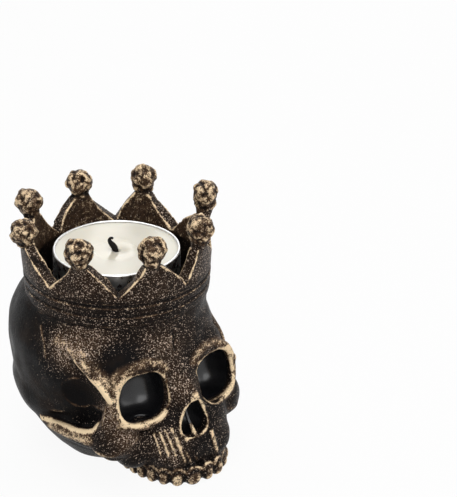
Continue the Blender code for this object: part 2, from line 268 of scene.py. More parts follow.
class Skin:
    """A mesh's points and links as arrays, for sculpting and for reading its relief."""

    def __init__(self, obj: bpy.types.Object) -> None:
        """Read an object's mesh.

        Args:
            obj: the object, with its mesh in metres.
        """
        self.obj = obj
        mesh = obj.data
        self.count = len(mesh.vertices)
        flat = np.empty(self.count * 3)
        mesh.vertices.foreach_get("co", flat)
        self.co = flat.reshape(-1, 3) / MM
        pairs = np.empty(len(mesh.edges) * 2, dtype=np.int64)
        mesh.edges.foreach_get("vertices", pairs)
        self.edges = pairs.reshape(-1, 2)
        self.links = np.bincount(self.edges.ravel(), minlength=self.count).astype(float)
        self.normals = self.read_normals()

    def read_normals(self) -> np.ndarray:
        """Return the mesh's point normals as they are now."""
        flat = np.empty(self.count * 3)
        self.obj.data.vertex_normals.foreach_get("vector", flat)
        return flat.reshape(-1, 3)

    def write(self) -> None:
        """Put the points back into the mesh and read its normals again."""
        self.obj.data.vertices.foreach_set("co", (self.co * MM).ravel())
        self.obj.data.update()
        self.normals = self.read_normals()

    def blur(self, values: np.ndarray, rounds: int) -> np.ndarray:
        """Average values with their neighbours' along the mesh's edges."""
        a, b = self.edges[:, 0], self.edges[:, 1]
        out = values.reshape(self.count, -1).astype(float)
        for _ in range(rounds):
            total = np.empty_like(out)
            for k in range(out.shape[1]):
                total[:, k] = np.bincount(a, out[b, k], self.count) + np.bincount(b, out[a, k], self.count)
            out = 0.5 * out + 0.5 * total / self.links[:, None]
        return out.reshape(values.shape)

    def relief(self, rounds: int) -> np.ndarray:
        """Return how far each point stands out of the surface blurred over that many rounds."""
        return np.einsum("ij,ij->i", self.co - self.blur(self.co, rounds), self.normals)

    def distance(self, points: Sequence[Point]) -> np.ndarray:
        """Return each point's distance to a run of straight stretches."""
        best = np.full(self.count, 1e9)
        for start, end in zip(points, points[1:]):
            p, q = np.array(start), np.array(end)
            span = q - p
            share = np.clip((self.co - p) @ span / max(span @ span, 1e-9), 0.0, 1.0)
            best = np.minimum(best, np.linalg.norm(self.co - p - share[:, None] * span, axis=1))
        return best

    def push(self, amount: np.ndarray) -> None:
        """Move every point along its normal."""
        self.co += self.normals * amount[:, None]

    def carve(self, strokes: Sequence[Stroke]) -> tuple[np.ndarray, np.ndarray]:
        """Apply sculpting strokes.

        Args:
            strokes: the strokes, in order.

        Returns:
            The gold and the painted shade, partly bare base paint, that the strokes carry, at each point.
        """
        gold, dark = np.zeros(self.count), np.zeros(self.count)
        for stroke in strokes:
            fade = np.exp(-((self.distance(stroke.points) / stroke.width) ** stroke.edge))
            self.push(stroke.height * fade)
            gold = np.maximum(gold, stroke.gilt * fade)
            dark = np.maximum(dark, -stroke.gilt * fade)
        self.write()
        return gold, dark

    def near(self, patches: Sequence[tuple[Point, float, float]]) -> np.ndarray:
        """Sum soft patches of (centre, radius, strength) at each point."""
        total = np.zeros(self.count)
        for centre, radius, strength in patches:
            reach = np.linalg.norm(self.co - np.array(centre), axis=1)
            total += strength * np.exp(-((reach / radius) ** 2))
        return total

    def ripple(self, size: float, amount: np.ndarray | float, seed: float = 0.0) -> None:
        """Lift and lower the surface by smooth noise.

        Args:
            size: distance between bumps.
            amount: their height, the same all over or at each point.
            seed: offset of the pattern.
        """
        wave = np.array([noise.noise(Vector(p) / size + Vector((seed, seed, seed))) for p in self.co])
        self.push(wave * amount)

    def paint(self, mask: Mask, values: np.ndarray) -> None:
        """Store values from 0 to 1 as an attribute that the material reads."""
        mesh = self.obj.data
        layer = mesh.attributes.get(mask.value) or mesh.attributes.new(mask.value, "FLOAT", "POINT")
        layer.data.foreach_set("value", np.clip(values, 0.0, 1.0).astype(np.float32))


def ramp(values: np.ndarray, low: float, high: float) -> np.ndarray:
    """Rise smoothly from 0 at low to 1 at high."""
    share = np.clip((values - low) / (high - low), 0.0, 1.0)
    return share * share * (3.0 - 2.0 * share)


def round_square(angle: float, power: float) -> tuple[float, float]:
    """Return the point of a unit superellipse at an angle, a circle where power is 2 and squarer above."""
    c, d = math.cos(angle), math.sin(angle)
    size = (abs(c) ** power + abs(d) ** power) ** (-1.0 / power)
    return c * size, d * size


# ---------------------------------------------------------------- materials


class Nodes:
    """Short helper to build a node tree."""

    def __init__(self, tree: bpy.types.NodeTree) -> None:
        """Wrap a node tree."""
        self.tree = tree

    def add(self, kind: str, **settings: object) -> bpy.types.Node:
        """Add a node and set its properties and unlinked sockets.

        Args:
            kind: the node's type name.
            settings: properties by name, and sockets as s_ and their name.

        Returns:
            The node.
        """
        node = self.tree.nodes.new(kind)
        for key, value in settings.items():
            if key.startswith("s_"):
                node.inputs[key[2:].replace("_", " ")].default_value = value
            else:
                setattr(node, key, value)
        return node

    def link(self, source: bpy.types.NodeSocket, target: bpy.types.NodeSocket) -> None:
        """Join two sockets."""
        self.tree.links.new(source, target)

    def math(self, operation: str, a: object, b: object) -> bpy.types.NodeSocket:
        """Add a Math node on sockets or numbers and return its result."""
        node = self.add("ShaderNodeMath", operation=operation)
        for socket, value in zip(node.inputs, (a, b)):
            if isinstance(value, bpy.types.NodeSocket):
                self.link(value, socket)
            else:
                socket.default_value = value
        return node.outputs[0]

    def seen(self) -> bpy.types.NodeSocket:
        """Return 1 for rays from the camera, from a reflection and through glass."""
        path = self.add("ShaderNodeLightPath")
        mirrored = self.math("MAXIMUM", path.outputs["Is Glossy Ray"], path.outputs["Is Transmission Ray"])
        return self.math("MAXIMUM", path.outputs["Is Camera Ray"], mirrored)

    def range(self, value: bpy.types.NodeSocket, low: float, high: float, to_low: float = 0.0,
              to_high: float = 1.0) -> bpy.types.NodeSocket:
        """Map a value smoothly from one range to another."""
        node = self.add("ShaderNodeMapRange", interpolation_type="SMOOTHSTEP")
        self.link(value, node.inputs["Value"])
        for name, number in (("From Min", low), ("From Max", high), ("To Min", to_low), ("To Max", to_high)):
            node.inputs[name].default_value = number
        return node.outputs["Result"]

    def threshold(self, value: bpy.types.NodeSocket, start: bpy.types.NodeSocket,
                  soft: float) -> bpy.types.NodeSocket:
        """Return 0 where a value is below start, rising smoothly to 1 over the next soft of it."""
        node = self.add("ShaderNodeMapRange", interpolation_type="SMOOTHSTEP")
        self.link(value, node.inputs["Value"])
        self.link(start, node.inputs["From Min"])
        self.link(self.math("ADD", start, soft), node.inputs["From Max"])
        return node.outputs["Result"]

    def mix(self, factor: bpy.types.NodeSocket, a: object, b: object) -> bpy.types.NodeSocket:
        """Mix two colours, given as sockets or as (r, g, b)."""
        node = self.add("ShaderNodeMix", data_type="RGBA")
        self.link(factor, node.inputs["Factor"])
        colours = [socket for socket in node.inputs if socket.type == "RGBA"]
        for socket, value in zip(colours, (a, b)):
            if isinstance(value, bpy.types.NodeSocket):
                self.link(value, socket)
            else:
                socket.default_value = (*value, 1.0)
        return [s for s in node.outputs if s.type == "RGBA"][0]

    def noise(self, coords: bpy.types.NodeSocket, size: float, detail: float = 2.0,
              rough: float = 0.5) -> bpy.types.NodeSocket:
        """Add noise whose bumps are about size millimetres apart."""
        node = self.add("ShaderNodeTexNoise", s_Scale=1.0 / (size * MM), s_Detail=detail, s_Roughness=rough)
        self.link(coords, node.inputs["Vector"])
        return node.outputs["Fac"]


def new_material(name: str) -> tuple[bpy.types.Material, Nodes, bpy.types.Node]:
    """Start a material.

    Args:
        name: the material's name.

    Returns:
        The material, its nodes and its Principled shader.
    """
    mat = bpy.data.materials.new(name)
    mat.use_nodes = True
    return mat, Nodes(mat.node_tree), mat.node_tree.nodes["Principled BSDF"]


def group(name: str, inputs: Sequence[tuple[str, str]],
          outputs: Sequence[tuple[str, str]]) -> tuple[bpy.types.NodeTree, Nodes, bpy.types.Node, bpy.types.Node]:
    """Start a shader node group.

    Args:
        name: the group's name.
        inputs: names and socket types, such as ("Gilt", "NodeSocketFloat").
        outputs: the same, for what it gives.

    Returns:
        The group, its nodes, its input node and its output node.
    """
    tree = bpy.data.node_groups.new(name, "ShaderNodeTree")
    for label, kind in inputs:
        tree.interface.new_socket(name=label, in_out="INPUT", socket_type=kind)
    for label, kind in outputs:
        tree.interface.new_socket(name=label, in_out="OUTPUT", socket_type=kind)
    nodes = Nodes(tree)
    return tree, nodes, nodes.add("NodeGroupInput"), nodes.add("NodeGroupOutput")


@dataclass(frozen=True)
class BronzePaint:
    """Near-black bronze paint with gold brushed over its raised places.

    Args:
        base: the dark body, also the colour of the painted shade in grooves, pits and gaps, partly bare base paint
            where the gold brush missed.
        warm: the body's browner clouds.
        gold: full gold.
        dull: thin gold.
        pale: dusted gold.
        glow: brown that shows through round the gold.
        glaze: the smooth walls of the orbits and the nose.
        grain_size: size of the gold's grains in millimetres, and so on for its clumps, worn places and flecks.
        gold_start: grain level at which no gold shows yet, less its wear.
        gold_wear: how far the worn places shift that level.
        gold_reach: how far a full mask brings it down.
        gold_soft: softness of the grains' edges.
        dust_start: the same for the dusted flecks, with dust_reach and dust_soft.
    """

    base: Point = (0.0045, 0.0039, 0.0040)
    warm: Point = (0.014, 0.0090, 0.0065)
    gold: Point = (0.98, 0.77, 0.50)
    dull: Point = (0.46, 0.30, 0.185)
    pale: Point = (0.80, 0.66, 0.55)
    glow: Point = (0.115, 0.066, 0.038)
    glaze: Point = (0.004, 0.004, 0.005)
    grain_size: float = 0.42
    clump_size: float = 1.5
    wear_size: float = 2.6
    patch_size: float = 7.0
    fleck_size: float = 0.45
    gold_start: float = 0.82
    gold_wear: float = 0.30
    gold_reach: float = 0.38
    gold_soft: float = 0.11
    dust_start: float = 0.68
    dust_reach: float = 0.24
    dust_soft: float = 0.08

    def speckle(self) -> bpy.types.NodeTree:
        """Build the group that breaks the gold into brushed grains.

        The gold and the dust show where a noise passes a threshold. The threshold starts high, where nothing shows,
        and comes down by the mask's value times its reach.
        """
        tree, n, given, result = group(
            "brushed_grains",
            [("Vector", "NodeSocketVector"), ("Gilt", "NodeSocketFloat"), ("Dust", "NodeSocketFloat")],
            [("Gold", "NodeSocketFloat"), ("Dust", "NodeSocketFloat"), ("Height", "NodeSocketFloat")])
        coords = given.outputs["Vector"]
        fine = n.noise(coords, self.grain_size, 3.0, 0.65)
        coarse = n.noise(coords, self.clump_size, 3.0, 0.6)
        patch = n.noise(coords, self.patch_size, 2.0, 0.5)
        grain = n.math("ADD", n.math("MULTIPLY", fine, 0.62), n.math("MULTIPLY", coarse, 0.38))
        wear = n.math("MULTIPLY", n.noise(coords, self.wear_size, 2.0, 0.5), self.gold_wear)
        level = n.math("SUBTRACT", n.math("SUBTRACT", self.gold_start, wear),
                       n.math("MULTIPLY", given.outputs["Gilt"], self.gold_reach))
        gold = n.threshold(grain, level, self.gold_soft)
        n.link(n.math("MULTIPLY", gold, n.range(given.outputs["Gilt"], 0.02, 0.4)), result.inputs["Gold"])
        flecks = n.noise(coords, self.fleck_size, 2.0, 0.7)
        amount = n.math("MULTIPLY", given.outputs["Dust"], n.range(patch, 0.3, 0.7, 0.75, 1.15))
        start = n.math("SUBTRACT", self.dust_start, n.math("MULTIPLY", amount, self.dust_reach))
        dust = n.threshold(flecks, start, self.dust_soft)
        n.link(n.math("MULTIPLY", dust, n.range(given.outputs["Dust"], 0.0, 0.25)), result.inputs["Dust"])
        height = n.math("ADD", n.math("MULTIPLY", grain, 0.7), n.math("MULTIPLY", flecks, 0.3))
        n.link(height, result.inputs["Height"])
        return tree

    def build(self) -> bpy.types.Material:
        """Build the material."""
        mat, n, shader = new_material("bronze_paint")
        coords = n.add("ShaderNodeTexCoord").outputs["Object"]
        masks = {mask: n.add("ShaderNodeAttribute", attribute_name=mask.value).outputs["Fac"] for mask in Mask}
        grains = n.add("ShaderNodeGroup", node_tree=self.speckle())
        n.link(coords, grains.inputs["Vector"])
        n.link(masks[Mask.GILT], grains.inputs["Gilt"])
        n.link(masks[Mask.DUST], grains.inputs["Dust"])
        cloud = n.noise(coords, 9.0, 3.0, 0.55)
        body = n.mix(n.range(cloud, 0.42, 0.72), self.base, self.warm)
        streak = n.noise(coords, 0.9, 2.0, 0.5)
        tint = n.mix(streak, self.dull, self.pale)
        shade = n.mix(n.noise(coords, 2.2, 2.0, 0.5), self.dull, self.gold)
        full = n.mix(n.range(masks[Mask.GILT], 0.35, 0.9), shade, self.gold)
        haze = n.math("MAXIMUM", n.range(masks[Mask.GILT], 0.06, 0.55),
                      n.math("MULTIPLY", n.range(masks[Mask.DUST], 0.2, 0.9), 0.7))
        blotch = n.range(n.noise(coords, 1.3, 3.0, 0.6), 0.3, 0.65, 0.35, 1.0)
        warmed = n.mix(n.math("MULTIPLY", haze, blotch), body, self.glow)
        dusted = n.mix(grains.outputs["Dust"], warmed, tint)
        painted = n.mix(grains.outputs["Gold"], dusted, full)
        # Painted shade: grooves, pits and gaps go back towards the dark base, partly bare base paint that the gold
        # brush missed.
        bare_and_shaded = n.mix(n.math("MULTIPLY", masks[Mask.UNBRUSHED_AND_SHADE], 0.75), painted, self.base)
        final = n.mix(masks[Mask.HOLLOW], bare_and_shaded, self.glaze)
        n.link(final, shader.inputs["Base Color"])
        cover = n.math("MAXIMUM", grains.outputs["Gold"], grains.outputs["Dust"])
        outside = n.math("SUBTRACT", 1.0, masks[Mask.HOLLOW])
        n.link(n.math("MULTIPLY", n.math("MULTIPLY", cover, 0.30), outside), shader.inputs["Metallic"])
        rough = n.math("ADD", n.range(cloud, 0.3, 0.7, 0.30, 0.42), n.math("MULTIPLY", cover, 0.08))
        n.link(rough, shader.inputs["Roughness"])
        shader.inputs["Specular IOR Level"].default_value = 0.04
        n.link(masks[Mask.HOLLOW], shader.inputs["Coat Weight"])
        shader.inputs["Coat Roughness"].default_value = 0.26
        shader.inputs["Coat IOR"].default_value = 1.55
        bump = n.add("ShaderNodeBump", s_Strength=1.0, s_Distance=0.38 * MM)
        n.link(n.math("MULTIPLY", grains.outputs["Height"], outside), bump.inputs["Height"])
        n.link(bump.outputs["Normal"], shader.inputs["Normal"])
        return mat


@dataclass(frozen=True)
class CupMetal:
    """Thin pressed aluminium, with a slightly darker worn shade."""

    colour: Point = (0.86, 0.86, 0.85)
    worn: Point = (0.72, 0.72, 0.71)

    def build(self) -> bpy.types.Material:
        """Build the material."""
        mat, n, shader = new_material("cup_aluminium")
        coords = n.add("ShaderNodeTexCoord").outputs["Object"]
        shader.inputs["Metallic"].default_value = 1.0
        shade = n.noise(coords, 6.0, 2.0, 0.5)
        n.link(n.mix(shade, self.colour, self.worn), shader.inputs["Base Color"])
        n.link(n.range(n.noise(coords, 2.0, 3.0, 0.6), 0.3, 0.7, 0.24, 0.40), shader.inputs["Roughness"])
        bump = n.add("ShaderNodeBump", s_Strength=0.25, s_Distance=0.1 * MM)
        n.link(n.noise(coords, 1.2, 2.0, 0.5), bump.inputs["Height"])
        n.link(bump.outputs["Normal"], shader.inputs["Normal"])
        return mat


@dataclass(frozen=True)
class CandleWax:
    """Cream paraffin wax, glossier and yellower inside pool_r and plain outside rim_r."""

    colour: Point = (0.86, 0.82, 0.71)
    pool: Point = (0.78, 0.73, 0.60)
    pool_r: float = 6.5
    rim_r: float = 10.0

    def build(self) -> bpy.types.Material:
        """Build the material."""
        mat, n, shader = new_material("wax_white")
        coords = n.add("ShaderNodeTexCoord").outputs["Object"]
        ring = n.add("ShaderNodeVectorMath", operation="LENGTH")
        flat = n.add("ShaderNodeVectorMath", operation="MULTIPLY")
        flat.inputs[1].default_value = (1.0, 1.0, 0.0)
        n.link(coords, flat.inputs[0])
        n.link(flat.outputs["Vector"], ring.inputs[0])
        reach = n.math("ADD", ring.outputs["Value"], n.math("MULTIPLY", n.noise(coords, 5.0), 2.0 * MM))
        n.link(n.mix(n.range(reach, self.pool_r * MM, self.rim_r * MM), self.pool, self.colour),
               shader.inputs["Base Color"])
        n.link(n.range(reach, (self.pool_r - 0.5) * MM, self.rim_r * MM, 0.15, 0.42), shader.inputs["Roughness"])
        shader.inputs["Subsurface Weight"].default_value = 0.25
        shader.inputs["Subsurface Scale"].default_value = 2.0 * MM
        shader.inputs["Subsurface Radius"].default_value = (1.0, 0.8, 0.55)
        bump = n.add("ShaderNodeBump", s_Strength=0.15, s_Distance=0.15 * MM)
        n.link(n.noise(coords, 2.4, 2.0, 0.5), bump.inputs["Height"])
        n.link(bump.outputs["Normal"], shader.inputs["Normal"])
        return mat


@dataclass(frozen=True)
class Char:
    """Burnt cotton, with greyer ash on it."""

    colour: Point = (0.0035, 0.003, 0.003)
    ash: Point = (0.012, 0.010, 0.009)

    def build(self) -> bpy.types.Material:
        """Build the material."""
        mat, n, shader = new_material("wick_char")
        coords = n.add("ShaderNodeTexCoord").outputs["Object"]
        n.link(n.mix(n.noise(coords, 0.8), self.colour, self.ash), shader.inputs["Base Color"])
        shader.inputs["Roughness"].default_value = 0.85
        shader.inputs["Specular IOR Level"].default_value = 0.2
        bump = n.add("ShaderNodeBump", s_Strength=0.8, s_Distance=0.2 * MM)
        n.link(n.noise(coords, 0.4), bump.inputs["Height"])
        n.link(bump.outputs["Normal"], shader.inputs["Normal"])
        return mat


# ---------------------------------------------------------------- the casting


@dataclass(frozen=True)
class CrownSize:
    """Sizes of the crown and its well, in millimetres and degrees.

    Args:
        band_z: height of the band's foot, and top that of the sheet.
        band_r: outer radius of the band, which flares outwards by flare up to the top.
        well_r: radius of the well, and lip_r that of the sheet's inner edge.
        turn: angle of the first point.
        notch_z: height of the notches' feet.
        sway: how far each point leans round the ring.
        lift: how far each ball stands above ball_z.
    """

    band_z: float = 52.0
    band_r: float = 27.8
    well_r: float = 24.3
    lip_r: float = 25.7
    well_floor: float = 49.5
    points: int = 8
    turn: float = -14.1
    notch_z: float = 62.0
    top: float = 71.3
    flare: float = 1.3
    grooves: tuple[float, ...] = (56.0, 59.3)
    groove_w: float = 0.6
    groove_d: float = 0.7
    neck_r: float = 2.4
    ball_r: float = 4.1
    ring_r: float = 28.2
    ball_z: float = 76.0
    sway: tuple[float, ...] = (-7.1, 3.9, 0.6, 0.0, -9.5, -0.2, -1.9, -7.5)
    lift: tuple[float, ...] = (2.6, 0.0, -0.9, 0.0, -2.4, 0.2, 0.5, 1.2)


@dataclass(frozen=True)
class HeadSize:
    """Sizes of the skull, in millimetres and degrees.

    Args:
        cranium: radii across, along, up and down of the brain case.
        face_y: depth of the orbits' plane at orbit_z, which slopes by face_slope.
        orbit_tilt: how far the right orbit sits above the middle and the left one below it.
        orbit_power: squareness of the orbits, 2 for round.
        orbit_turn: how far each orbit faces outwards.
        jaw_x: sideways place of the dental arch, turned by jaw_turn.
        jaw_w: half width of the arch, and jaw_l its length.
        tooth_widths: width of each tooth in relation to the others, from the right flank to the left.
    """

    cranium: tuple[float, ...] = (30.4, 33.0, 23.4, 46.0)
    cranium_x: float = -0.7
    cranium_y: float = 3.2
    cranium_z: float = 38.2
    face_x: float = -0.3
    face_y: float = -29.0
    face_slope: float = 0.18
    orbit_x: float = 13.3
    orbit_z: float = 29.8
    orbit_tilt: float = 1.1
    orbit_w: float = 7.9
    orbit_h: float = 7.5
    orbit_power: float = 2.8
    orbit_turn: float = 8.0
    orbit_depth: float = 9.5
    rim_r: float = 1.5
    nose_x: float = 0.2
    nose_y: float = -36.5
    nose_top: float = 28.2
    nose_bottom: float = 16.0
    nose_w: float = 4.9
    jaw_x: float = 3.9
    jaw_turn: float = -3.0
    jaw_y: float = -16.5
    jaw_w: float = 15.9
    jaw_l: float = 22.4
    jaw_power: float = 2.35
    gum_z: float = 5.4
    tooth_widths: tuple[float, ...] = (3.3, 3.4, 3.6, 3.9, 4.0, 4.4, 5.6, 4.3, 4.2, 3.8, 3.9, 3.8, 3.6, 3.4, 3.3)


class Crown:
    """The crown: a spun and notched sheet with a knobbed ball on each point."""

    VOXEL = 0.36

    def __init__(self, size: CrownSize) -> None:
        """Keep the sizes."""
        self.size = size

    def angle(self, i: int) -> float:
        """Return the angle of one point's tip round the ring, in degrees."""
        s = self.size
        return s.turn + 360.0 / s.points * i + s.sway[i % s.points]

    def blank(self) -> bpy.types.Object:
        """Spin the crown's profile, band, grooves and sheet, round its well."""
        s = self.size
        rise = s.top - s.band_z
        line = [(s.well_r, s.band_z - 1.8), (s.band_r - 0.9, s.band_z - 1.8), (s.band_r - 0.7, s.band_z),
                (s.band_r - 0.1, s.band_z + 0.25), (s.band_r + 0.15, s.band_z + 0.9)]
        for z in s.grooves:
            lean = s.band_r + s.flare * (z - s.band_z) / rise
            line += [(lean + 0.1, z - s.groove_w), (lean - s.groove_d, z), (lean + 0.1, z + s.groove_w)]
        line += [(s.band_r + s.flare * share, s.band_z + rise * share) for share in (0.5, 0.7, 0.85, 1.0)]
        line += [(s.lip_r, s.top), (s.well_r, s.notch_z)]
        return spun("crown", line, 128)

    def notches(self) -> bpy.types.Object:
        """Build the ring of wedges that cut the points out of the sheet."""
        s = self.size
        bm = bmesh.new()
        half_neck = math.degrees(s.neck_r / s.band_r)
        for i in range(s.points):
            middle = s.turn + 360.0 / s.points * (i + 0.5)
            low = self.angle(i) + half_neck
            high = self.angle(i + 1) + 360.0 * (i == s.points - 1) - half_neck
            ends = []
            for reach in (s.well_r - 6.0, s.band_r + 6.0):
                corners = [(middle, s.notch_z), (high, s.top + 0.2), (low, s.top + 0.2)]
                ends.append([bm.verts.new((reach * math.cos(math.radians(a)), reach * math.sin(math.radians(a)), z))
                             for a, z in corners])
            near, far = ends
            bm.faces.new(near)
            bm.faces.new(far[::-1])
            for a in range(3):
                b = (a + 1) % 3
                bm.faces.new((near[a], far[a], far[b], near[b]))
        return place("notches", bm)

    def finials(self) -> bpy.types.Object:
        """Set a waisted neck and a ball on each point."""
        s = self.size
        bm = bmesh.new()
        for i in range(s.points):
            turn = Matrix.Rotation(math.radians(self.angle(i)), 4, "Z")
            spot = turn @ Matrix.Translation((s.ring_r, 0.0, s.ball_z + s.lift[i]))
            bmesh.ops.create_icosphere(bm, subdivisions=4, radius=s.ball_r - 0.1, matrix=spot)
            foot = turn @ Vector((s.ring_r - 0.9, 0.0, s.top - 2.6))
            waist = turn @ Vector((s.ring_r - 0.5, 0.0, s.top + 0.2 + 0.3 * s.lift[i]))
            head = turn @ Vector((s.ring_r, 0.0, s.ball_z + s.lift[i] - 2.4))
            Bar([(*foot, 1.6), (*waist, 2.3), (*waist, 2.3), (*head, 3.3)]).add(bm)
        return place("finials", bm)

    def build(self, paint: bpy.types.Material) -> bpy.types.Object:
        """Build the crown, sculpt it and dress it."""
        crown = self.blank()
        combine(crown, self.notches(), "DIFFERENCE")
        remesh(join(crown, [self.finials()]), self.VOXEL, 2)
        skin = Skin(crown)
        knob = self.knobs(skin)
        skin.ripple(2.7, 0.85 * knob, 3.0)
        skin.write()
        skin.ripple(1.3, 0.35 * knob, 8.0)
        skin.ripple(5.0, 0.22 * (1.0 - knob), 1.0)
        skin.write()
        self.dress(skin, knob)
        finish(crown, paint, "holder")
        log.info("crown: %d points", skin.count)
        return crown

    def knobs(self, skin: Skin) -> np.ndarray:
        """Return 1 on the balls, fading to 0 on their necks."""
        s = self.size
        knob = np.zeros(skin.count)
        for i in range(s.points):
            a = math.radians(self.angle(i))
            centre = np.array((s.ring_r * math.cos(a), s.ring_r * math.sin(a), s.ball_z + s.lift[i]))
            reach = np.linalg.norm(skin.co - centre, axis=1)
            knob = np.maximum(knob, 1.0 - ramp(reach, s.ball_r + 0.2, s.ball_r + 1.6))
        return knob

    def dress(self, skin: Skin, knob: np.ndarray) -> None:
        """Paint the masks: gold on edges and lumps, dust on the sheet, painted shade in the grooves and pits,
        partly bare base paint.

        Args:
            skin: the sculpted crown.
            knob: 1 on the balls.
        """
        s = self.size
        edge = skin.relief(8)
        broad = skin.relief(40)
        radius = np.hypot(skin.co[:, 0], skin.co[:, 1])
        facing = np.einsum("ij,ij->i", skin.normals[:, :2], skin.co[:, :2]) / np.maximum(radius, 1e-6)
        inside = ramp(-facing, 0.2, 0.7) * (1.0 - knob) * ramp(radius, 30.0, 27.0)
        sheet = ramp(skin.co[:, 2], s.grooves[1] + 1.0, s.grooves[1] + 2.5)
        gilt = np.maximum(ramp(edge, 0.02, 0.12), 0.6 * ramp(broad, 0.05, 0.40)) * (0.65 + 0.10 * sheet)
        lump = skin.relief(14)
        lumps = 0.24 + 0.42 * ramp(lump, -0.08, 0.24)
        gilt = np.maximum(gilt * (1.0 - knob), 0.30 * inside * sheet) + lumps * knob
        skin.paint(Mask.GILT, gilt)
        skin.paint(Mask.DUST, (0.33 + 0.12 * sheet) * (1.0 - 0.6 * inside) * (1.0 - knob) + 0.22 * knob)
        # painted shade in the grooves and in the pits between the balls' lumps, partly bare base paint
        skin.paint(Mask.UNBRUSHED_AND_SHADE, np.maximum(ramp(-edge, 0.01, 0.07), 0.55 * knob * ramp(-lump, 0.0, 0.2)))
        skin.paint(Mask.HOLLOW, np.zeros(skin.count))


def finish(obj: bpy.types.Object, mat: bpy.types.Material, node: str) -> None:
    """Give a piece its material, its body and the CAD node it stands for."""
    obj.data.materials.clear()
    obj.data.materials.append(mat)
    obj.data.shade_smooth()
    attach(obj, "root")
    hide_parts(node)


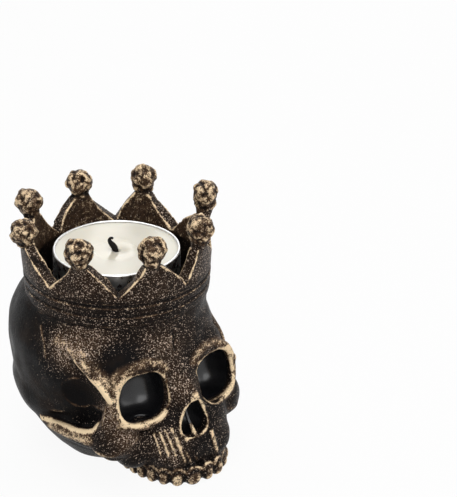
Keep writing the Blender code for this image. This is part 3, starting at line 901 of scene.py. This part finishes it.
class Skull:
    """The head: fused forms, carved hollows and sculpted strokes.

    PATCHES are soft places where the dusted gold is denser or, below 0, sparser: (centre, radius, amount).
    """

    VOXEL = 0.49
    PATCHES = (
        ((-24.0, -13.5, 45.5), 9.5, 0.45),  # temple, above the ridge
        ((-20.0, -24.0, 42.5), 5.5, -0.35),  # hollow over the brow
        ((-4.0, -28.0, 44.0), 8.0, 0.25),  # middle of the forehead
        ((-2.5, -33.0, 32.0), 5.0, 0.30),  # bridge of the nose
        ((-20.0, -29.5, 20.5), 5.0, 0.35),  # cheek, under the orbit
        ((-24.0, -26.0, 27.0), 5.0, 0.40),  # cheek, beside the orbit
        ((-8.0, -35.0, 14.0), 6.0, 0.30),  # upper jaw
        ((-29.0, -6.0, 42.0), 7.0, 0.15),  # side of the head
        ((-27.0, -14.0, 30.0), 7.0, -0.35),  # temple's hollow
    )

    def __init__(self, size: HeadSize, crown: CrownSize) -> None:
        """Keep the sizes of the head and of the crown that it wears."""
        self.size = size
        self.crown = crown

    def both(self, knots: Sequence[Knot], pinch: float = 0.0) -> list[list[Knot]]:
        """Mirror a run of knots.

        Args:
            knots: the run, drawn on +X.
            pinch: how far the left side lies inside the right one.

        Returns:
            The run for the right side (-X) and for the left side.
        """
        s = self.size
        right = [(s.face_x - x, y, z + s.orbit_tilt, r) for x, y, z, r in knots]
        left = [(s.face_x + x - pinch, y, z - s.orbit_tilt, r) for x, y, z, r in knots]
        return [right, left]

    def face_y(self, z: float) -> float:
        """Return the depth of the orbits' sloping plane at a height."""
        return self.size.face_y + self.size.face_slope * (z - self.size.orbit_z)

    def orbit(self, side: int) -> Point:
        """Return the centre of one orbit, side -1 for the right and 1 for the left."""
        s = self.size
        return (s.face_x + side * s.orbit_x, s.face_y, s.orbit_z - side * s.orbit_tilt)

    def arch(self, grow: float) -> list[Vector]:
        """Walk the dental arch from the right flank round the front to the left.

        Args:
            grow: distance outside the arch's own line.

        Returns:
            Points at equal steps, four for each tooth.
        """
        s = self.size
        line = []
        for i in range(721):
            across, along = round_square(math.radians(182.0 + 176.0 * i / 720), s.jaw_power)
            flat = Vector(((s.jaw_w + grow) * across, (s.jaw_l + grow) * along, 0.0))
            line.append(Matrix.Rotation(math.radians(s.jaw_turn), 3, "Z") @ flat + Vector((s.jaw_x, s.jaw_y, 0.0)))
        run = [0.0]
        for a, b in zip(line, line[1:]):
            run.append(run[-1] + (b - a).length)
        steps = np.linspace(0.0, run[-1], 4 * len(s.tooth_widths) + 1)
        axes = [np.interp(steps, run, [p[k] for p in line]) for k in (0, 1)]
        return [Vector((x, y, 0.0)) for x, y in zip(*axes)]

    def row(self, grow: float) -> list[tuple[Vector, Vector, Vector]]:
        """Return the near side, the middle and the far side of each tooth, on a line that far outside the arch."""
        line = self.arch(grow)
        scale = (len(line) - 1) / sum(self.size.tooth_widths)
        places, start = [], 0.0
        for width in self.size.tooth_widths:
            at = [min((start + width * share) * scale, len(line) - 1.001) for share in (0.1, 0.5, 0.9)]
            places.append(tuple(line[int(k)].lerp(line[int(k) + 1], k % 1.0) for k in at))
            start += width
        return places

    def gum_line(self, grow: float) -> list[Point]:
        """Return the gum's scallops that far off the arch, as three points a tooth from the gap before it."""
        valley, peak = self.size.gum_z - 1.3, self.size.gum_z + 0.3
        return [point for low, spot, high in self.row(grow)
                for point in ((*low.xy, valley), (*low.lerp(spot, 0.6).xy, peak), (*spot.lerp(high, 0.4).xy, peak))]

    def forms(self) -> bpy.types.Object:
        """Fuse the cranium, brow, cheeks, jaw and arches into one form."""
        s, c = self.size, self.crown
        bm = bmesh.new()
        Egg((s.cranium_x, s.cranium_y, s.cranium_z), s.cranium, segments=128).add(bm)
        Egg((s.cranium_x - 0.7, s.cranium_y + 1.2, 22.0), (28.5, 31.0, 19.6)).add(bm)
        bmesh.ops.create_cone(bm, cap_ends=True, segments=128, radius1=c.band_r - 1.2, radius2=c.band_r - 0.6,
                              depth=12.0, matrix=Matrix.Translation((0.0, 0.0, c.band_z - 5.0)))
        Egg((s.face_x - 0.8, -18.3, 33.0), (23.6, 10.8, 13.6), 2.9, (0, 4, 0)).add(bm)
        Egg((s.face_x, -25.6, 27.0), (8.5, 9.6, 12.0), 2.2, (-12, 0, 0)).add(bm)
        Egg((2.6, -25.3, 15.5), (15.4, 12.2, 12.0), 2.5).add(bm)
        Egg((1.6, -22.4, 17.0), (17.6, 10.8, 9.0)).add(bm)
        Egg((s.jaw_x, s.jaw_y, 11.5), (s.jaw_w - 0.6, s.jaw_l - 0.9, 7.6), 3.0, (0, 0, s.jaw_turn)).add(bm)
        Egg((s.jaw_x, s.jaw_y, 7.0), (s.jaw_w - 2.6, s.jaw_l - 2.6, 8.0), 2.8, (0, 0, s.jaw_turn)).add(bm)
        Egg((s.jaw_x, s.jaw_y, 9.8), (s.jaw_w - 0.9, s.jaw_l - 1.1, 5.2), 4.0, (0, 0, s.jaw_turn)).add(bm)
        Egg((-13.8, -24.6, 12.6), (6.8, 6.2, 7.0), 2.2, (0, -14, -34)).add(bm)
        for side in (-1, 1):
            Egg((s.face_x + side * 20.0, -24.2, 17.4), (7.2, 6.2, 7.2), 2.3, (0, side * -16, side * 14)).add(bm)
        brow = [(0, -27, 38.4, 2.2), (6, -28.0, 38.8, 2.3), (13, -27.6, 39.4, 2.3), (18.2, -25.8, 37.8, 2.0),
                (21.2, -24.6, 34.4, 1.7), (22.8, -24.8, 28.6, 1.8), (24.0, -25.8, 21.4, 2.6),
                (22.6, -26.8, 15.4, 3.4)]
        ridge = [(27.6, 0, 45.6, 0.5), (27.0, -7, 44.6, 1.2), (25.8, -13, 41.8, 1.6), (24.8, -18.5, 39.0, 1.7),
                 (24.0, -23, 36.4, 1.6), (23.0, -25.4, 33.6, 1.4), (22.7, -26.0, 30.0, 1.2)]
        arch = [(20.5, -25.4, 18.0, 3.8), (24.6, -22.6, 17.4, 3.3), (27.3, -15, 16.2, 2.5), (28.2, -8, 15.0, 2.0),
                (27.8, -1, 13.6, 1.5), (26.2, 6, 12.8, 0.8)]
        shelf = [(17.5, -22, 12.0, 3.0), (21.0, -15, 10.6, 3.0), (23.2, -6, 9.6, 2.7), (21.5, 3, 9.0, 2.2)]
        for run in self.both(brow, 0.9) + self.both(ridge, 1.6) + self.both(arch) + self.both(shelf):
            Bar(run).add(bm)
        Bar([(s.face_x, -26, 39, 3.0), (s.face_x, -28.5, 34, 3.5), (s.nose_x, -33.0, 29.6, 2.8),
             (s.nose_x, -37.4, 28.2, 1.9)]).add(bm)
        return remesh(place("skull", bm), 0.6, 8)

    def rims(self) -> bpy.types.Object:
        """Add the lips round the orbits and the nose."""
        s = self.size
        bm = bmesh.new()
        steps = 16
        for side in (-1, 1):
            thick = [s.rim_r + 0.4 * (abs(math.sin(math.tau * i / steps)) > 0.5) for i in range(steps)]
            Bar([(*point, r) for point, r in zip(self.lip(side, 1.0, 0.3, steps), thick)], cyclic=True).add(bm)
        middle = (s.nose_top + s.nose_bottom) / 2
        nose = []
        for i in range(14):
            angle = math.tau * i / 14
            width = s.nose_w * (1.0 - 0.38 * math.sin(angle))
            z = middle + (0.5 + (s.nose_top - s.nose_bottom) / 2) * math.sin(angle)
            nose.append((s.nose_x + width * math.cos(angle), s.nose_y + 1.2 * abs(math.cos(angle)), z, 0.75))
        Bar(nose, cyclic=True).add(bm)
        return place("rims", bm)

    def sockets(self) -> list[Egg]:
        """Return the forms that hollow out the right orbit, the left orbit and the nose."""
        s = self.size
        radii = (s.orbit_w, s.orbit_depth, s.orbit_h)
        orbits = [Egg(self.orbit(side), radii, s.orbit_power, (-10, 0, side * s.orbit_turn)) for side in (-1, 1)]
        nose = (s.nose_x, -37.0, (s.nose_top + s.nose_bottom) / 2)
        radii = (s.nose_w * 0.86, 9.0, (s.nose_top - s.nose_bottom) / 2)
        return orbits + [Egg(nose, radii, 2.2, (-4, 0, 0), taper=0.42)]

    def lip(self, side: int, out: float, behind: float, steps: int = 24) -> list[Point]:
        """Walk round an orbit's lip.

        Args:
            side: -1 for the right orbit and 1 for the left.
            out: distance outside the opening.
            behind: depth behind the plane of the lip.
            steps: steps round the lip.

        Returns:
            The points, from the side near +X over the top and round, the first again at the end.
        """
        s = self.size
        cx, _, cz = self.orbit(side)
        lean = math.tan(math.radians(s.orbit_turn))
        points = []
        for i in range(steps + 1):
            across, up = round_square(math.tau * i / steps, s.orbit_power)
            x, z = (s.orbit_w + out) * across, cz + (s.orbit_h + out) * up
            points.append((cx + x, self.face_y(z) + behind + lean * x * side, z))
        return points

    def hollows(self) -> bpy.types.Object:
        """Build the cutter for the orbits, the nasal opening and the slots behind the arches."""
        s = self.size
        bm = bmesh.new()
        for socket in self.sockets():
            socket.add(bm)
        for side in (-1, 1):
            Egg((s.face_x + side * 35.3, -19.0, 29.5), (12.8, 12.0, 10.0), turn=(0, 0, side * -6)).add(bm)
        slot = [(29.5, 3, 17.0, 0.6), (29.4, -4, 18.2, 1.2), (28.6, -11, 19.9, 2.0), (26.8, -17, 21.6, 2.9),
                (25.8, -20.2, 23.8, 3.0), (26.6, -21.0, 27.0, 2.2)]
        seam = [(26.5, -27.0, 10.6, 0.4), (27.6, -21.0, 11.8, 0.9), (29.4, -14, 12.4, 1.0), (30.2, -7, 11.8, 0.9),
                (29.5, 2, 10.6, 0.6)]
        for run in self.both(slot) + self.both(seam):
            Bar(run).add(bm)
        return remesh(place("hollows", bm), 0.4, 2)

    def septum(self) -> bpy.types.Object:
        """Stand the nasal septum and its spine in the opening."""
        s = self.size
        bm = bmesh.new()
        Bar([(s.nose_x + 0.3, -36.6, s.nose_bottom - 1.0, 1.0), (s.nose_x + 0.2, -36.3, s.nose_bottom + 0.7, 0.7),
             (s.nose_x - 0.3, -34.5, s.nose_bottom + 3.0, 0.6), (s.nose_x - 0.2, -32.5, s.nose_bottom + 6.0, 0.6),
             (s.nose_x, -31.0, s.nose_top - 3.0, 0.9)]).add(bm)
        return place("septum", bm)

    def teeth(self) -> bpy.types.Object:
        """Place rounded teeth and the scalloped gum along the dental arch."""
        bm = bmesh.new()
        for low, spot, high in self.row(-1.5):
            span = high - low
            size = span.length * 0.64
            turn = (0.0, 0.0, math.degrees(math.atan2(span.y, span.x)))
            Egg((spot.x, spot.y, 2.5), (size, size * 0.6 + 1.2, 3.0), 2.2, turn, 32).add(bm)
        Bar([(*point, 0.7 if i % 3 else 0.6) for i, point in enumerate(self.gum_line(-0.7))], steps=4).add(bm)
        return place("teeth", bm)

    def deep(self, skin: Skin) -> np.ndarray:
        """Return 1 on the glazed walls of the orbits and the nose, and 0 elsewhere."""
        s = self.size
        deep = np.zeros(skin.count)
        lean = math.tan(math.radians(s.orbit_turn))
        for socket, side in zip(self.sockets(), (-1, 1, 0)):
            inside = 1.0 - ramp(socket.level(skin.co), 1.03, 1.10)
            plane = self.face_y(skin.co[:, 2]) + 0.3 + lean * side * (skin.co[:, 0] - socket.centre[0])
            if side == 0:
                plane = s.nose_y + 1.0
            deep = np.maximum(deep, inside * ramp(skin.co[:, 1] - plane, 0.2, 1.2))
        return deep

    def strokes(self) -> list[Stroke]:
        """Return the sculpting strokes, drawn on the right side and mirrored where both sides have them."""
        s = self.size
        glow = [(-28.3, -8.0, 46.0), (-27.0, -12.5, 44.6), (-25.2, -15.5, 42.0), (-24.2, -19.0, 39.6),
                (-23.8, -23.3, 38.2), (-23.2, -25.7, 35.8)]
        crest = [(-26.7, -14.0, 41.0), (-25.4, -18.2, 37.8), (-25.4, -23.1, 36.6), (-24.6, -25.5, 34.4),
                 (-23.9, -27.0, 32.8)]
        brow = [(-22.0, -28.0, 35.0), (-20.9, -28.0, 37.3), (-18.7, -27.6, 39.7), (-15.3, -28.0, 41.3),
                (-11.2, -28.8, 41.9), (-7.4, -29.7, 40.5), (-5.2, -29.8, 38.2)]
        behind = [(-27.2, -13.0, 40.2), (-26.4, -16.5, 36.4), (-25.6, -20.5, 34.2), (-24.9, -23.0, 32.0)]
        arch = [(-28.7, 1.3, 15.9), (-28.7, -2.9, 16.9), (-28.5, -7.9, 18.1), (-28.6, -15.6, 19.3),
                (-27.8, -19.5, 20.1), (-26.5, -21.8, 21.1), (-25.1, -22.5, 22.9)]
        body = [(-29.0, -4.0, 15.3), (-29.4, -10.0, 16.3), (-29.0, -16.5, 17.4), (-28.0, -21.0, 18.0)]
        slot = [(-28.3, -4.0, 18.9), (-28.0, -9.0, 20.2), (-27.2, -15.5, 21.8), (-26.2, -19.0, 22.8)]
        margin = [(-28.5, -20.0, 15.6), (-27.0, -25.5, 14.8), (-24.0, -29.4, 15.4), (-20.6, -30.4, 17.0),
                  (-16.5, -30.3, 18.6), (-12.8, -30.6, 20.4)]
        under = [(-28.8, -14.0, 12.6), (-27.6, -21.0, 12.6), (-25.3, -26.5, 12.2), (-21.5, -29.0, 11.0)]
        # The slot and under strokes carry painted shade behind and under the cheek arches, partly bare base paint.
        paired = [Stroke(behind, 2.2, -1.0), Stroke(glow[:4], 3.4, 0.0, 0.44), Stroke(glow[2:], 2.2, 0.0, 0.60),
                  Stroke(crest, 1.4, 0.8, 1.0, 3.0), Stroke(brow, 1.6, 0.3, 0.52), Stroke(slot, 1.1, -1.4, -0.9),
                  Stroke(body, 2.2, 0.0, 0.64), Stroke(arch, 0.95, 0.4, 1.0, 3.0), Stroke(under, 1.8, -1.3, -0.5),
                  Stroke(margin, 1.4, 0.25, 0.28)]
        strokes = []
        for stroke in paired:
            mirror = [(2 * s.face_x - x, y, z - 2 * s.orbit_tilt) for x, y, z in stroke.points]
            strokes += [stroke, replace(stroke, points=mirror)]
        ridges = (((-12.4, -29.5, 17.0), (-11.9, -30.7, 13.9), (-10.3, -31.1, 9.6)),
                  ((-11.2, -31.4, 18.5), (-10.8, -32.6, 15.4), (-10.0, -33.0, 11.8), (-8.2, -31.8, 7.3)),
                  ((-10.1, -32.8, 19.0), (-9.5, -33.9, 15.9), (-8.6, -34.6, 12.3), (-7.3, -33.9, 8.3)),
                  ((-8.9, -33.7, 19.7), (-8.2, -35.1, 16.3), (-7.1, -35.6, 12.6), (-6.2, -35.4, 9.3)),
                  ((-7.3, -34.9, 20.0), (-6.6, -36.0, 16.8), (-5.1, -36.4, 12.2), (-3.9, -36.4, 8.9)),
                  ((-6.0, -36.2, 17.3), (-4.2, -36.8, 12.7), (-1.6, -36.4, 7.5)))
        for points, gold in zip(ridges, (0.25, 0.4, 0.6, 0.5, 0.55, 0.3)):
            strokes.append(Stroke([(x + 1.0, y - 0.7, z) for x, y, z in points], 0.6, -0.4))
            strokes.append(Stroke(points, 0.6, 0.36, gold))
        strokes.append(Stroke([(5.7, -37.5, 15.7), (6.2, -37.9, 13.3), (7.0, -37.9, 10.1), (8.6, -36.5, 6.7)],
                              0.8, 0.7, 0.45))
        strokes.append(Stroke([(-28.3, 0.3, 47.6), (-29.0, -1.1, 46.1), (-29.6, -2.8, 44.0), (-30.0, -3.7, 41.8),
                               (-30.1, -4.3, 39.4)], 0.5, 0.25, 0.5))
        # The crack on the forehead carries painted shade in its cut, partly bare base paint.
        strokes.append(Stroke([(-0.7, -27.1, 47.8), (-0.6, -27.9, 46.0), (-1.5, -28.5, 44.6), (-1.3, -29.2, 42.5)],
                              0.4, -0.35, -0.6))
        for side in (-1, 1):
            band, edge = self.lip(side, 1.9, 0.6), self.lip(side, 0.5, -0.9)
            strokes.append(Stroke(band[1:13], 1.9, 0.0, 0.50, 3.0))
            strokes.append(Stroke(band[12:25], 1.6, 0.0, 0.5))
            strokes.append(Stroke(edge[10:22], 1.1, 0.0, 1.0, 3.0))
            strokes.append(Stroke(edge[:11], 0.6, 0.0, 0.75, 3.0))
        for low, spot, high in self.row(0.4):
            # Painted shade in each gap between the teeth, partly bare base paint, and gold down each tooth's
            # middle.
            strokes.append(Stroke([(*high.xy, 0.6), (*high.xy, 3.8)], 0.45, -0.5, -1.0))
            strokes.append(Stroke([(*spot.xy, 1.4), (*spot.xy, 3.4)], 1.1, 0.0, 0.52))
        strokes.append(Stroke(self.gum_line(-0.3), 0.55, 0.0, 0.60))
        return strokes

    def build(self, paint: bpy.types.Material) -> bpy.types.Object:
        """Fuse and carve the skull, then sculpt and dress it."""
        c = self.crown
        skull = self.forms()
        remesh(join(skull, [self.rims(), self.teeth()]), self.VOXEL, 1)
        combine(skull, spun("top", [(0.0, c.band_z + 0.6), (60.0, c.band_z + 0.6), (60.0, 90.0), (0.0, 90.0)], 64),
                "DIFFERENCE")
        combine(skull, self.hollows(), "DIFFERENCE")
        combine(skull, spun("well", [(0.0, c.well_floor), (c.well_r + 0.9, c.well_floor), (c.well_r + 0.9, 90.0),
                                     (0.0, 90.0)], 128), "DIFFERENCE")
        remesh(join(skull, [self.septum()]), self.VOXEL, 2)
        combine(skull, spun("ground", [(0.0, -20.0), (80.0, -20.0), (80.0, 0.0), (0.0, 0.0)], 64), "DIFFERENCE")
        self.sculpt(Skin(skull))
        finish(skull, paint, "holder")
        return skull

    def sculpt(self, skin: Skin) -> None:
        """Sculpt the skull, keep its foot flat and paint its masks."""
        deep = self.deep(skin)
        skin.ripple(6.0, 0.3 * (1.0 - deep), 2.0)
        skin.write()
        # dark is the strokes' painted shade, partly bare base paint.
        gold, dark = skin.carve(self.strokes())
        skin.co[:, 2] = np.maximum(skin.co[:, 2], 0.0)
        skin.write()
        edge = skin.relief(6)
        broad = skin.relief(45)
        front = ramp(-skin.co[:, 1], -6.0, 20.0)
        gilt = np.maximum(0.75 * ramp(edge, 0.025, 0.12), 0.45 * ramp(broad, 0.15, 0.7))
        gilt = np.maximum(gilt * (0.3 + 0.7 * front), gold) * (1.0 - deep) * (1.0 - dark)
        dust = 0.08 + 0.20 * front + skin.near(self.PATCHES)
        skin.paint(Mask.GILT, gilt)
        skin.paint(Mask.DUST, dust * (1.0 - deep) * (1.0 - dark))
        # Painted shade in broad hollows and along the dark strokes, partly bare base paint; gold and dust are taken
        # away there.
        skin.paint(Mask.UNBRUSHED_AND_SHADE, np.maximum(ramp(-broad, 0.12, 0.6), dark))
        skin.paint(Mask.HOLLOW, deep)
        log.info("skull: %d points", skin.count)


# ---------------------------------------------------------------- the tealight


@dataclass(frozen=True)
class CandleSize:
    """Sizes of the tealight, in millimetres.

    Args:
        radius: outer radius of the cup, and wall its thickness.
        rim: radius of the rolled rim.
        top: height of the rim, and floor that of the cup's foot.
        wax_drop: how far the wax lies under the rim.
        gap: clearance round the wax and the wick.
        tab_r: radius of the wick's tab, and tab_t its thickness.
    """

    radius: float = 19.25
    wall: float = 0.4
    rim: float = 0.45
    top: float = 65.0
    floor: float = 49.8
    wax_drop: float = 0.7
    wick_r: float = 0.65
    gap: float = 0.3
    tab_r: float = 6.0
    tab_t: float = 0.5


class Tealight:
    """The tealight: cup, wax and wick."""

    def __init__(self, size: CandleSize) -> None:
        """Keep the sizes."""
        self.size = size

    def cup(self, mat: bpy.types.Material) -> bpy.types.Object:
        """Spin the cup with its rolled rim."""
        s = self.size
        top = s.top - s.rim
        inner = s.radius - s.wall
        lip = [(s.radius - s.rim * (1 - math.cos(a)), top + s.rim * math.sin(a))
               for a in (math.radians(12 * i) for i in range(14))]
        line = [(0.0, s.floor), (s.radius - 1.0, s.floor), (s.radius - 0.3, s.floor + 0.3),
                (s.radius, s.floor + 1.0)]
        line += [(s.radius, z) for z in (54.0, 58.0, 62.0)] + lip
        line += [(inner, top), (inner, s.floor + 1.2), (inner - 0.8, s.floor + s.wall), (0.0, s.floor + s.wall)]
        cup = spun("cup", line, 160)
        finish(cup, mat, "tealight_cup")
        return cup

    def wax(self, mat: bpy.types.Material) -> bpy.types.Object:
        """Spin the wax, with a shallow melt dish round the wick."""
        s = self.size
        inner = s.radius - s.wall - s.gap
        low = s.floor + s.wall + s.gap
        top = s.top - s.wax_drop
        bore = s.wick_r + s.gap
        roof = low + s.tab_t + 2 * s.gap
        seat = s.tab_r + s.gap
        line = [(seat, low), (inner - 1.1, low), (inner, low + 1.2), (inner, top - 0.6), (inner + 0.24, top - 0.3)]
        line += [(inner + 0.24, top + 0.3), (inner - 0.2, top + 0.12), (inner - 1.2, top), (13.0, top - 0.02),
                 (9.6, top - 0.06), (8.0, top - 0.3), (5.0, top - 0.45), (bore + 0.6, top - 0.4), (bore, top - 0.6)]
        wax = spun("candle_wax", line + [(bore, roof), (seat, roof)], 160)
        finish(wax, mat, "wax")
        return wax

    def wick(self, mat: bpy.types.Material) -> bpy.types.Object:
        """Bend the charred wick over at its top."""
        s = self.size
        foot = s.floor + s.wall + s.gap * 2 + s.tab_t
        top = s.top - s.wax_drop
        r = s.wick_r
        bm = bmesh.new()
        Bar([(0, 0, foot, r), (0, 0, foot + 4, r), (0, 0, top - 3, r), (0, 0, top - 0.9, r),
             (-0.3, 0.3, top - 0.2, 0.95), (-0.6, 0.5, top + 0.8, 1.0), (-1.2, 1.0, top + 1.8, 0.9),
             (-1.6, 1.4, top + 2.6, 0.65), (-1.6, 1.4, top + 3.4, 0.45), (-1.1, 0.9, top + 3.8, 0.4),
             (-0.8, 0.7, top + 3.4, 0.35)],
            steps=12, sides=3).add(bm)
        wick = place("charred_wick", bm)
        finish(wick, mat, "wick")
        return wick

    def build(self, metal: bpy.types.Material, wax: bpy.types.Material, char: bpy.types.Material) -> None:
        """Build the three pieces and dress the hidden wick tab."""
        self.cup(metal)
        self.wax(wax)
        self.wick(char)
        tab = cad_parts["wick_tab"]
        for slot in tab.material_slots:
            slot.material = metal
        log.info("tealight: done")


# ---------------------------------------------------------------- the studio


@dataclass(frozen=True)
class Softbox:
    """One area lamp.

    Args:
        name: the lamp's name.
        place: where it stands, in metres.
        aim: where it points.
        size: width and height.
        power: watts.
    """

    name: str
    place: Point
    aim: Point
    size: tuple[float, float]
    power: float

    def build(self) -> bpy.types.Object:
        """Add the lamp."""
        lamp = bpy.data.lights.new(self.name, "AREA")
        lamp.shape = "RECTANGLE"
        lamp.size, lamp.size_y = self.size
        lamp.energy = self.power
        obj = bpy.data.objects.new(self.name, lamp)
        obj.location = self.place
        obj.rotation_euler = (Vector(self.aim) - Vector(self.place)).to_track_quat("-Z", "Y").to_euler()
        bpy.context.scene.collection.objects.link(obj)
        return obj


@dataclass(frozen=True)
class Viewpoint:
    """The camera, from a fit to the photograph."""

    place: Point = (-0.292886, -0.388673, 0.300678)
    right: Point = (0.757772, -0.652465, 0.008438)
    up: Point = (0.279423, 0.336153, 0.899402)
    focal_px: float = 1794.609
    frame_px: tuple[int, int] = (457, 497)

    def build(self) -> bpy.types.Object:
        """Add the camera and make it the scene's."""
        data = bpy.data.cameras.new("camera")
        data.sensor_fit = "AUTO"
        data.sensor_width = 36.0
        data.lens = self.focal_px * 36.0 / max(self.frame_px)
        data.clip_start = 0.01
        data.clip_end = 20.0
        obj = bpy.data.objects.new("camera", data)
        right, up = Vector(self.right).normalized(), Vector(self.up).normalized()
        back = right.cross(up).normalized()
        turn = Matrix((right, back.cross(right), back)).transposed()
        obj.matrix_world = Matrix.Translation(self.place) @ turn.to_4x4()
        bpy.context.scene.collection.objects.link(obj)
        bpy.context.scene.camera = obj
        return obj


class Studio:
    """Pale floor, white surroundings, lamps and camera."""

    LAMPS = (
        Softbox("key", (-0.38, -0.48, 0.60), (0.0, -0.01, 0.03), (0.80, 0.70), 3.4),
        Softbox("fill_right", (0.50, -0.42, 0.36), (0.0, 0.0, 0.04), (0.60, 0.60), 1.5),
        Softbox("top", (-0.05, 0.15, 0.70), (0.0, 0.0, 0.05), (0.50, 0.50), 1.9),
        Softbox("rim", (0.45, 0.40, 0.35), (0.0, 0.0, 0.04), (0.30, 0.40), 0.8),
    )

    FLOOR_R = 900.0
    FLOOR_WHITE = 0.93
    WORLD_LIGHT = 0.12

    def floor(self) -> bpy.types.Object:
        """Lay the floor, which shows white to the camera and keeps the object's shadow."""
        bm = bmesh.new()
        bmesh.ops.create_circle(bm, cap_ends=True, segments=96, radius=self.FLOOR_R)
        floor = place("floor", bm)
        mat, n, shader = new_material("paper")
        shader.inputs["Base Color"].default_value = (0.9, 0.9, 0.9, 1.0)
        shader.inputs["Roughness"].default_value = 0.9
        glow = n.add("ShaderNodeEmission")
        blend = n.add("ShaderNodeMixShader")
        seen = n.math("MULTIPLY", n.seen(), self.FLOOR_WHITE)
        n.link(seen, blend.inputs[0])
        n.link(shader.outputs[0], blend.inputs[1])
        n.link(glow.outputs[0], blend.inputs[2])
        n.link(blend.outputs[0], mat.node_tree.nodes["Material Output"].inputs["Surface"])
        floor.data.materials.append(mat)
        return floor

    def surroundings(self) -> None:
        """Light the object softly from all round and show the camera white."""
        world = bpy.data.worlds.new("studio")
        bpy.context.scene.world = world
        world.use_nodes = True
        n = Nodes(world.node_tree)
        back = world.node_tree.nodes["Background"]
        back.inputs["Color"].default_value = (1.0, 1.0, 1.0, 1.0)
        shown = n.math("MULTIPLY", n.seen(), 1.0 - self.WORLD_LIGHT)
        n.link(n.math("ADD", shown, self.WORLD_LIGHT), back.inputs["Strength"])

    def build(self) -> None:
        """Set up the studio and the view settings."""
        self.floor()
        self.surroundings()
        for lamp in self.LAMPS:
            lamp.build()
        Viewpoint().build()
        bpy.context.scene.view_settings.view_transform = "Standard"


def main() -> None:
    """Build every piece, then the studio."""
    paint = BronzePaint().build()
    Skull(HeadSize(), CrownSize()).build(paint)
    Crown(CrownSize()).build(paint)
    Tealight(CandleSize()).build(CupMetal().build(), CandleWax().build(), Char().build())
    Studio().build()


if __name__ == "__main__":
    main()
